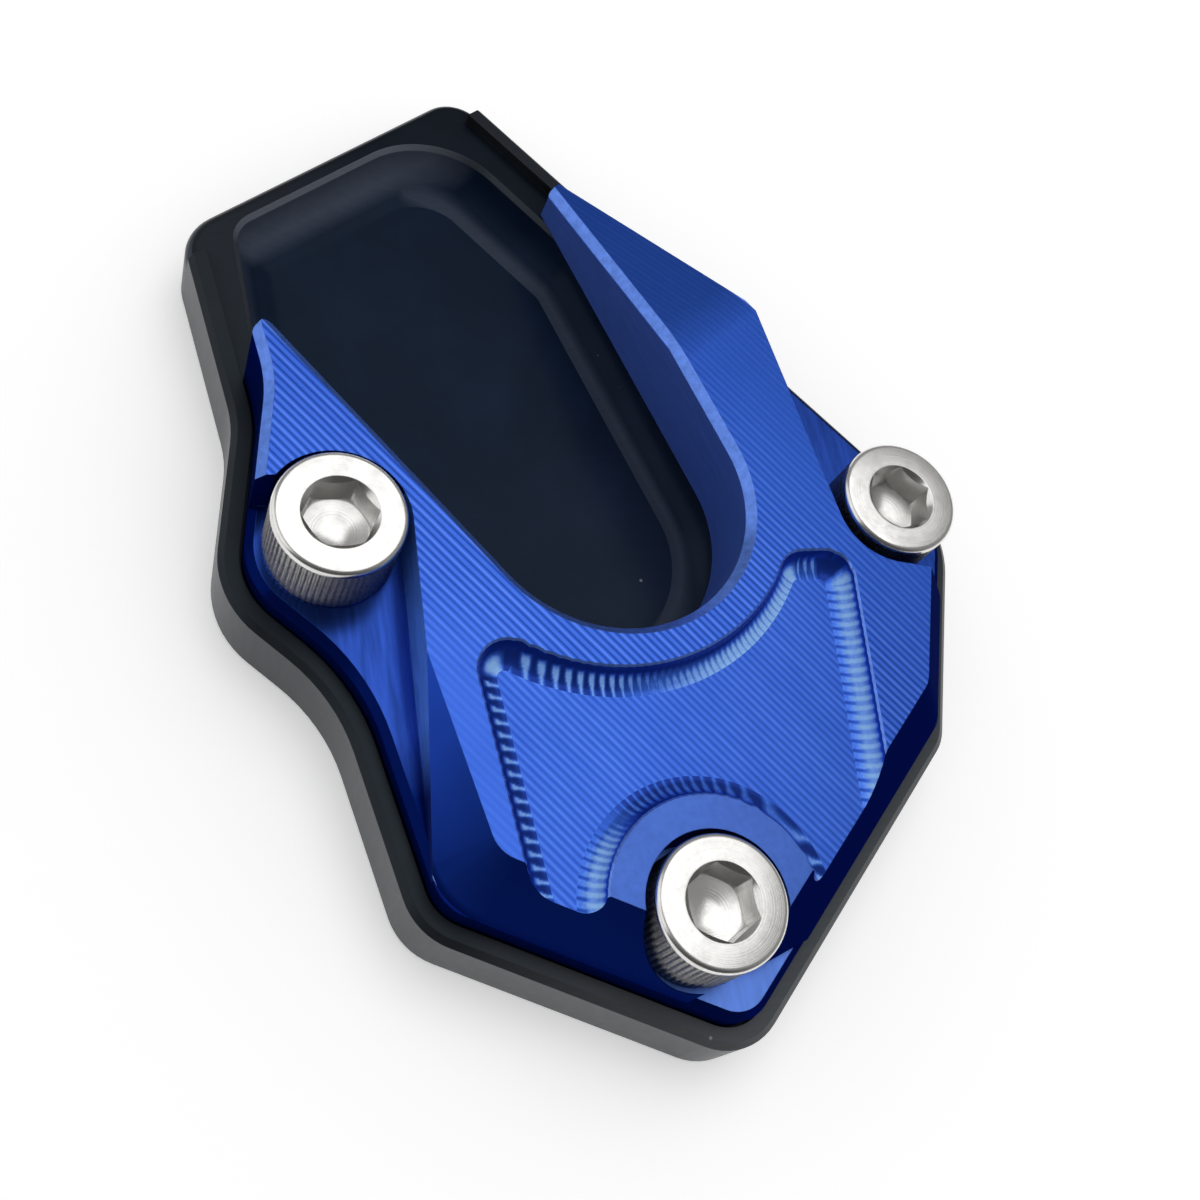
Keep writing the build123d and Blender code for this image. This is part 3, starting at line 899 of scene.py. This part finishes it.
class FOOT_OT_clamp_plate(bpy.types.Operator):
    """Blue clamp plate with its milled shield-shaped recess"""

    bl_idname = "foot_enlarger.clamp_plate"
    bl_label = "Clamp plate"
    bl_options = {"REGISTER", "UNDO"}

    TOP, RECESS, RING, NOSE, FLOOR, FACET, WALL, EDGE, SCALLOP, STEP = range(10)

    # Upward slopes: of level faces, of the milled faces and of the bright chamfers, at least
    LEVEL_SLOPE = 0.995
    MILLED_SLOPE = 0.9
    CHAMFER_SLOPE = 0.61

    # Upward slopes: of upright faces and of the slot's wall, at most
    UPRIGHT_SLOPE = 0.1
    SLOT_SLOPE = 0.5

    # The wall beside the left screw: how far it faces right at most, and its ends on the right and behind
    STEP_FACING = -0.7
    STEP_RIGHT = -10 * MM
    STEP_BEHIND = 2 * MM

    # From the flange's top to the faces that count as the plate's top, at least
    TO_TOP = MM

    # The recess: spacing of its samples, rows down its wall, reach of its sides and extra depth of its floor
    SAMPLE_SPACING = 0.07 * MM
    RECESS_ROWS = 10
    SIDE_DROP = 48 * MM
    FLOOR_RECUT = 0.01 * MM

    # Least share of a wall's run that counts as across the mill lines, where its ridges are worked out
    LEAST_CROSSING = 0.38

    # The bend into the ramp: its steps, and how its edges are found by slope, depth and angle
    EASE_STEPS = 8
    EASE_SLOPE = 0.95
    EASE_DEPTH = 0.1 * MM
    EASE_BEND = math.radians(8)

    def finishes(self, sizes):
        upright = (0.3, 0.3, 2.0)
        lengthwise = (2.0, 0.2, 0.2)
        fine = (1.5, 1.5, 1.5)
        return [
            milled_finish(
                "milled_blue", sizes, strongest=0.8, weakest=0.2, alternate=0.4, worn=0.8, depth=0.016
            ),
            milled_finish(
                "recess_blue", sizes, strongest=0.55, weakest=0.55, alternate=0.0, worn=0.0, depth=0.012
            ),
            smooth_finish("ring_blue", sizes.ring_blue, share=0.85, roughness=0.36, streak=fine),
            smooth_finish("nose_blue", sizes.nose_blue, share=0.8, roughness=0.30, streak=lengthwise),
            smooth_finish(
                "floor_blue", sizes.floor_blue, share=0.6, roughness=0.20, streak=lengthwise,
                front=sizes.deep_facet,
            ),
            facet_finish("facet_blue", sizes.deep_facet, sizes.lit_facet, sizes.painted_dark_facet),
            smooth_finish(
                "wall_blue", sizes.wall_blue, share=0.85, roughness=0.28, streak=upright, metal=0.4
            ),
            # Painted highlight on the bright chamfers and the recess's edge
            smooth_finish("highlight_edge_blue", sizes.highlight_edge_blue, share=0.7, roughness=0.24, streak=fine, metal=0.75),
            # Painted highlights on the scalloped walls
            scallop_finish("scallop_blue", sizes.scallop_deep, sizes.scallop_middle, sizes.scallop_bright),
            # Painted light on the wall beside the left screw
            smooth_finish(
                "lit_step_blue", sizes.lit_step_blue, share=0.6, roughness=0.30, streak=upright, metal=0.2,
                front=sizes.deep_facet,
            ),
        ]

    def kind_of(self, face, sizes):
        """Which finish a face of the blank takes, by its slope, height and place."""
        slope = face.normal.z
        above_flange = face.center.z - sizes.flange_top
        from_ring = face.center.xy - Vector(sizes.ring_centre)
        if slope > self.LEVEL_SLOPE and from_ring.length < sizes.ring_radius:
            return self.RING if above_flange > self.TO_TOP else self.NOSE
        if slope > self.MILLED_SLOPE:
            return self.TOP if above_flange > self.TO_TOP else self.FLOOR
        if slope > self.CHAMFER_SLOPE and above_flange > 0:
            return self.EDGE
        # The wall beside the left screw takes the finish with painted light
        facing_left = abs(slope) < self.UPRIGHT_SLOPE and face.normal.x < self.STEP_FACING
        beside_left_screw = face.center.x < self.STEP_RIGHT and face.center.y < self.STEP_BEHIND
        if facing_left and beside_left_screw and above_flange > 0:
            return self.STEP
        from_slot = face.center.xy - Vector(sizes.slot_centre)
        aside = Vector((math.sin(sizes.slot_turn), -math.cos(sizes.slot_turn)))
        in_slot = from_slot.dot(face.normal.xy) < 0 and abs(from_slot.dot(aside)) < sizes.slot_reach
        return self.WALL if in_slot and slope < self.SLOT_SLOPE else self.FACET

    def across(self, sizes):
        """Plan direction across the mill lines."""
        return Vector((-math.sin(sizes.line_turn), math.cos(sizes.line_turn)))

    def lane(self, spot):
        """How far a plan spot is from the middle of the mill's pass over it, from -0.5 to 0.5."""
        sizes = settings("clamp_plate")
        return (spot.dot(self.across(sizes)) / sizes.line_pitch) % 1.0 - 0.5

    def bite(self, spot, inward):
        """How far the mill's ball bites into the recess's wall at a plan spot."""
        sizes = settings("clamp_plate")
        crossing = max(abs(left_of(inward).dot(self.across(sizes))), self.LEAST_CROSSING)
        step = sizes.line_pitch / crossing
        ridge = sizes.mill_radius - math.sqrt(sizes.mill_radius**2 - (self.lane(spot) * step) ** 2)
        ball_bite = sizes.mill_radius - math.sqrt(sizes.mill_radius**2 - step**2 / 4)
        return sizes.shield_recut + ball_bite - ridge

    def gleam(self, spot, inward, free, depth):
        """How bright the painted highlight on a wall is: two sides gleam between their ridges, and the others
        on their ridges.
        """
        sizes = settings("clamp_plate")
        bearing = math.atan2(inward.y, inward.x)
        left = rising(math.cos(bearing - sizes.left_gleam), 0.70, 0.95)
        right = rising(math.cos(bearing - sizes.right_gleam), 0.70, 0.98)
        away = rising(math.cos(bearing - sizes.faint_highlight_side), 0.30, 0.90)
        foot = rising(depth, 0.65, 0.85)
        ridge = 0.0
        if free == math.inf:
            ridge = rising(2 * abs(self.lane(spot)), 0.25 + 0.30 * foot, 0.65 + 0.30 * foot)
        on_left = rising(depth, 0.05, 0.25) * (1 - foot) * (1 - 0.35 * ridge) + 0.45 * foot * (1 - ridge)
        on_right = rising(depth, 0.40, 0.65) * (1 - 0.40 * ridge)
        start = 0.30 + 0.22 * max(inward.x, 0.0)
        stroke = (0.82 - 0.40 * away) * ridge * rising(depth, start, start + 0.15)
        return max(left * on_left, right * on_right, (1 - max(left, right)) * stroke)

    def recess(self, sizes):
        """The space of the shield-shaped recess, with the ridges that the mill leaves on its walls."""
        lean = math.tan(sizes.shield_taper) * self.SIDE_DROP
        left = Vector(sizes.shield_left)
        right = Vector(sizes.shield_right)
        left_foot = left + Vector((lean, -self.SIDE_DROP))
        right_foot = right + Vector((-lean, -self.SIDE_DROP))
        walls = [
            StraightWall(left_foot, right_foot),
            StraightWall(right_foot, right),
            StraightWall(right, left),
            RoundWall(sizes.arc_centre, sizes.arc_radius),
            StraightWall(left, left_foot),
        ]
        outer = walled_outline(walls, [sizes.shield_corner] * len(walls), self.SAMPLE_SPACING)
        centre = Vector(sizes.ring_centre)
        ring_count = math.ceil(math.tau * sizes.ring_radius / self.SAMPLE_SPACING)
        ring = []
        for index in range(ring_count):
            angle = -math.tau * index / ring_count
            outward = Vector((math.sin(angle), -math.cos(angle)))
            ring.append((centre + outward * sizes.ring_radius, outward, math.inf))
        return cut_space(
            "recess_space",
            [outer, ring],
            sizes.top_height - sizes.shield_depth - self.FLOOR_RECUT,
            sizes.top_height,
            sizes.recess_edge,
            sizes.mill_radius,
            self.RECESS_ROWS,
            (self.EDGE, self.SCALLOP, self.RECESS),
            self.bite,
            self.gleam,
        )

    def ease_ramp(self, piece, sizes):
        """Lets the top turn into the ramp in a soft bend."""
        mesh = bmesh.new()
        mesh.from_mesh(piece.data)
        bends = []
        for edge in mesh.edges:
            facing_up = min(face.normal.z for face in edge.link_faces) > self.EASE_SLOPE
            at_top = min(vertex.co.z for vertex in edge.verts) > sizes.top_height - self.EASE_DEPTH
            if facing_up and at_top and edge.calc_face_angle(0.0) > self.EASE_BEND:
                bends.append(edge)
        bmesh.ops.bevel(
            mesh,
            geom=bends,
            offset=sizes.ramp_ease,
            offset_type="OFFSET",
            segments=self.EASE_STEPS,
            profile=0.5,
            affect="EDGES",
        )
        mesh.to_mesh(piece.data)
        mesh.free()

    def execute(self, context):
        sizes = settings("clamp_plate")
        piece = copy_of_node("top_plate", "clamp_plate")
        self.ease_ramp(piece, sizes)
        finishes = self.finishes(sizes)
        give_finishes(piece, finishes)
        for face in piece.data.polygons:
            face.material_index = self.kind_of(face, sizes)
        cutter = self.recess(sizes)
        give_finishes(cutter, finishes)
        carve(piece, cutter)
        shade(piece)
        hand_over(piece, "top_plate")
        return {"FINISHED"}


class FOOT_OT_cap_screws(bpy.types.Operator):
    """Three socket-head cap screws with knurled heads"""

    bl_idname = "foot_enlarger.cap_screws"
    bl_label = "Cap screws"
    bl_options = {"REGISTER", "UNDO"}

    PLAIN, KNURL = range(2)
    COLUMNS_PER_GROOVE = 4
    ROWS_PER_TURN = 6
    ROUND_STEPS = 8

    # Room between the socket's flats and the round row at their foot
    SOCKET_ROOM = 0.05 * MM

    def profile(self, sizes):
        """Rows from the screw's tip to the foot of its socket: kind, radius and height."""
        seat = sizes.seat_height
        tip = seat - sizes.shank_length
        top = seat + sizes.head_height
        rows = [("round", sizes.shank_radius - sizes.thread_depth, tip)]
        turns = sizes.shank_length / sizes.thread_pitch
        thread_rows = int(turns * self.ROWS_PER_TURN)
        for step in range(1, thread_rows):
            rows.append(("thread", sizes.shank_radius, tip + sizes.shank_length * step / thread_rows))
        rows.append(("round", sizes.shank_radius, seat))
        foot = sizes.head_foot
        rows.append(("round", sizes.head_radius - foot, seat))
        rows.append(("round", sizes.head_radius - 0.2 * foot, seat + 0.8 * foot))
        rows.append(("knurl", sizes.head_radius, seat + 2.0 * foot))
        rows.append(("knurl", sizes.head_radius, top - sizes.knurl_below))
        rows.append(("round", sizes.head_radius, top - 0.85 * sizes.knurl_below))
        shoulder = top - sizes.head_round
        for step in range(self.ROUND_STEPS + 1):
            angle = 0.5 * math.pi * step / self.ROUND_STEPS
            inset = sizes.head_round * (1 - math.cos(angle))
            rows.append(("round", sizes.head_radius - inset, shoulder + sizes.head_round * math.sin(angle)))
        rows.append(("round", sizes.mouth_radius, top))
        rows.append(("mouth", sizes.socket_flat, top))
        floor = top - sizes.socket_depth
        rows.append(("hex", sizes.socket_flat, floor))
        rows.append(("round", sizes.socket_flat - self.SOCKET_ROOM, floor))
        rows.append(("round", sizes.dimple_radius, floor - sizes.cone_depth))
        return rows

    def spot(self, kind, radius, height, angle, column, turned, sizes):
        """Distance from the screw's axis and height of one vertex."""
        if kind == "knurl":
            in_groove = column % self.COLUMNS_PER_GROOVE >= self.COLUMNS_PER_GROOVE // 2
            return radius - (sizes.knurl_depth if in_groove else 0.0), height
        if kind == "thread":
            wave = (height / sizes.thread_pitch - angle / math.tau) % 1.0
            return radius - sizes.thread_depth * (1 - abs(2 * wave - 1)), height
        if kind == "round":
            return radius, height
        side = math.pi / 3
        to_flat = radius / math.cos((angle - turned) % side - side / 2)
        return to_flat, height - (sizes.mouth_radius - to_flat if kind == "mouth" else 0.0)

    def add_screw(self, mesh, centre, turned, sizes):
        columns = sizes.knurl_count * self.COLUMNS_PER_GROOVE
        layer = mesh.verts.layers.float_vector[FROM_AXIS]
        rings = []
        for kind, radius, level in self.profile(sizes):
            ring = []
            for column in range(columns):
                angle = turned + math.tau * column / columns
                reach, height = self.spot(kind, radius, level, angle, column, turned, sizes)
                offset = Vector((math.cos(angle) * reach, math.sin(angle) * reach, 0.0))
                vertex = mesh.verts.new(Vector((*centre, height)) + offset)
                vertex[layer] = offset / MM
                ring.append(vertex)
            rings.append(ring)
        kinds = [row[0] for row in self.profile(sizes)]
        for row, (lower, upper) in enumerate(zip(rings, rings[1:])):
            finish = self.KNURL if "knurl" in kinds[row:row + 2] else self.PLAIN
            for index in range(columns):
                corners = (lower[index - 1], lower[index], upper[index], upper[index - 1])
                mesh.faces.new(corners).material_index = finish
        mesh.faces.new(list(reversed(rings[0])))
        mesh.faces.new(rings[-1])

    def execute(self, context):
        sizes = settings("cap_screws")
        mesh = bmesh.new()
        mesh.verts.layers.float_vector.new(FROM_AXIS)
        screws = [
            (sizes.left_place, sizes.left_turn),
            (sizes.right_place, sizes.right_turn),
            (sizes.front_place, sizes.front_turn),
        ]
        for centre, turned in screws:
            self.add_screw(mesh, centre, turned, sizes)
        piece = object_from(mesh, "screws")
        finishes = [
            steel_finish("screw_steel", sizes.steel, sizes.grime, dirty=0.0, roughness=0.16),
            steel_finish("knurl_steel", sizes.knurl_steel, sizes.grime, dirty=0.45, roughness=0.30),
        ]
        give_finishes(piece, finishes)
        for face in piece.data.polygons:
            face.use_smooth = True
        piece.data.set_sharp_from_angle(angle=SCREW_BEND)
        hand_over(piece, "cap_screws")
        return {"FINISHED"}


class FOOT_OT_stage(bpy.types.Operator):
    """Camera, soft lights and a pale floor"""

    bl_idname = "foot_enlarger.stage"
    bl_label = "Stage"
    bl_options = {"REGISTER", "UNDO"}

    def add_camera(self, sizes):
        data = bpy.data.cameras.new("camera")
        data.lens = sizes.camera_lens
        data.sensor_width = SENSOR_WIDTH
        data.clip_start = MM
        camera = bpy.data.objects.new("camera", data)
        bpy.context.scene.collection.objects.link(camera)
        look = Vector(sizes.camera_aim) - Vector(sizes.camera_place)
        camera.location = sizes.camera_place
        camera.rotation_mode = "QUATERNION"
        rolled = Quaternion((0.0, 0.0, 1.0), sizes.camera_roll)
        camera.rotation_quaternion = look.to_track_quat("-Z", "Y") @ rolled
        bpy.context.scene.camera = camera

    def seen(self, finish):
        """1 for what the camera sees, straight or in a reflection."""
        kinds = ("Is Camera Ray", "Is Glossy Ray", "Is Transmission Ray")
        straight, glossy, through = [finish.node("ShaderNodeLightPath", output=kind) for kind in kinds]
        return straight.larger(glossy).larger(through)

    def add_floor(self, sizes):
        """A pale floor that takes the shadow, and fades to the background's white far away."""
        mesh = bmesh.new()
        bmesh.ops.create_circle(mesh, cap_ends=True, segments=FLOOR_SIDES, radius=FLOOR_RADIUS)
        floor = object_from(mesh, "floor")
        finish = new_finish("floor_white")
        far = finish.reach(finish.geometry("Position")).between(FADE_START, FADE_END)
        pale = finish.blend(far, sizes.floor_white, BLACK)
        lift = finish.blend(far, grey(sizes.floor_lift), WHITE)
        paper = finish.node("ShaderNodeBsdfDiffuse", {}, {"Color": pale})
        glow = finish.node("ShaderNodeEmission", {}, {"Color": lift, "Strength": self.seen(finish)})
        both = finish.node("ShaderNodeAddShader", {}, {0: paper, 1: glow})
        finish.node("ShaderNodeOutputMaterial", {}, {"Surface": both})
        give_finishes(floor, [finish.owner])

    def add_sky(self, sizes):
        world = bpy.data.worlds.new("studio")
        bpy.context.scene.world = world
        finish = Finish(world)
        seen = self.seen(finish)
        strength = seen + (1 - seen) * sizes.sky_level
        sky = finish.node("ShaderNodeBackground", {}, {"Color": WHITE, "Strength": strength})
        finish.node("ShaderNodeOutputWorld", {}, {"Surface": sky})

    def add_walls(self, sizes):
        """Grey studio walls that only reflections show, with an opening on the left."""
        mesh = bmesh.new()
        bmesh.ops.create_uvsphere(
            mesh, u_segments=WALL_COLUMNS, v_segments=WALL_ROWS, radius=WALL_DISTANCE
        )
        opening = []
        for face in mesh.faces:
            middle = face.calc_center_median()
            bearing = math.atan2(middle.y, middle.x) - sizes.window_bearing
            aside = abs((bearing + math.pi) % math.tau - math.pi)
            rise = math.asin(middle.z / middle.length)
            if aside < sizes.window_half and sizes.window_foot < rise < sizes.window_rise:
                opening.append(face)
        bmesh.ops.delete(mesh, geom=opening, context="FACES")
        walls = object_from(mesh, "studio_walls")
        finish = new_finish("studio_grey")
        towards = (math.cos(sizes.dark_bearing), math.sin(sizes.dark_bearing), 0.0)
        dark = (finish.along(finish.geometry("Position"), towards) / WALL_DISTANCE).between(0.15, 0.75)
        tone = finish.blend(dark, grey(sizes.wall_level), grey(sizes.dark_level))
        glow = finish.node("ShaderNodeEmission", {}, {"Color": tone})
        finish.node("ShaderNodeOutputMaterial", {}, {"Surface": glow})
        give_finishes(walls, [finish.owner])
        walls.visible_camera = False
        walls.visible_diffuse = False
        walls.visible_transmission = False
        walls.visible_shadow = False

    def add_lamp(self, sizes):
        """The soft square main lamp, turned to the object."""
        data = bpy.data.lights.new("key_lamp", "AREA")
        data.size = sizes.key_size
        data.energy = sizes.key_level * math.pi * sizes.key_size**2
        lamp = bpy.data.objects.new("key_lamp", data)
        plan = Vector((math.cos(sizes.key_bearing), math.sin(sizes.key_bearing))) * math.cos(sizes.key_rise)
        outward = Vector((*plan, math.sin(sizes.key_rise)))
        lamp.location = outward * sizes.key_distance
        lamp.rotation_mode = "QUATERNION"
        lamp.rotation_quaternion = outward.to_track_quat("Z", "Y")
        bpy.context.scene.collection.objects.link(lamp)

    def execute(self, context):
        sizes = settings("stage")
        bpy.context.scene.view_settings.view_transform = "Standard"
        self.add_camera(sizes)
        self.add_floor(sizes)
        self.add_sky(sizes)
        self.add_walls(sizes)
        self.add_lamp(sizes)
        return {"FINISHED"}


class VIEW3D_PT_foot_enlarger(bpy.types.Panel):
    """Lists the pieces in the sidebar"""

    bl_idname = "VIEW3D_PT_foot_enlarger"
    bl_label = "Foot enlarger"
    bl_space_type = "VIEW_3D"
    bl_region_type = "UI"
    bl_category = "Foot enlarger"

    def draw(self, context):
        for part in PARTS:
            group = settings(part)
            column = self.layout.column(align=True)
            column.operator("foot_enlarger." + part)
            for name in group.__annotations__:
                column.prop(group, name)


GROUPS = (BasePlateSettings, ClampPlateSettings, CapScrewSettings, StageSettings)
OPERATORS = (FOOT_OT_base_plate, FOOT_OT_clamp_plate, FOOT_OT_cap_screws, FOOT_OT_stage)
CLASSES = (*GROUPS, *OPERATORS, VIEW3D_PT_foot_enlarger)


def register():
    for item in CLASSES:
        bpy.utils.register_class(item)
    for part, group in zip(PARTS, GROUPS):
        setattr(bpy.types.Scene, "foot_enlarger_" + part, PointerProperty(type=group))


def unregister():
    for part in PARTS:
        delattr(bpy.types.Scene, "foot_enlarger_" + part)
    for item in reversed(CLASSES):
        bpy.utils.unregister_class(item)


def main():
    register()
    bpy.ops.foot_enlarger.base_plate()
    bpy.ops.foot_enlarger.clamp_plate()
    bpy.ops.foot_enlarger.cap_screws()
    bpy.ops.foot_enlarger.stage()


if __name__ == "__main__":
    main()
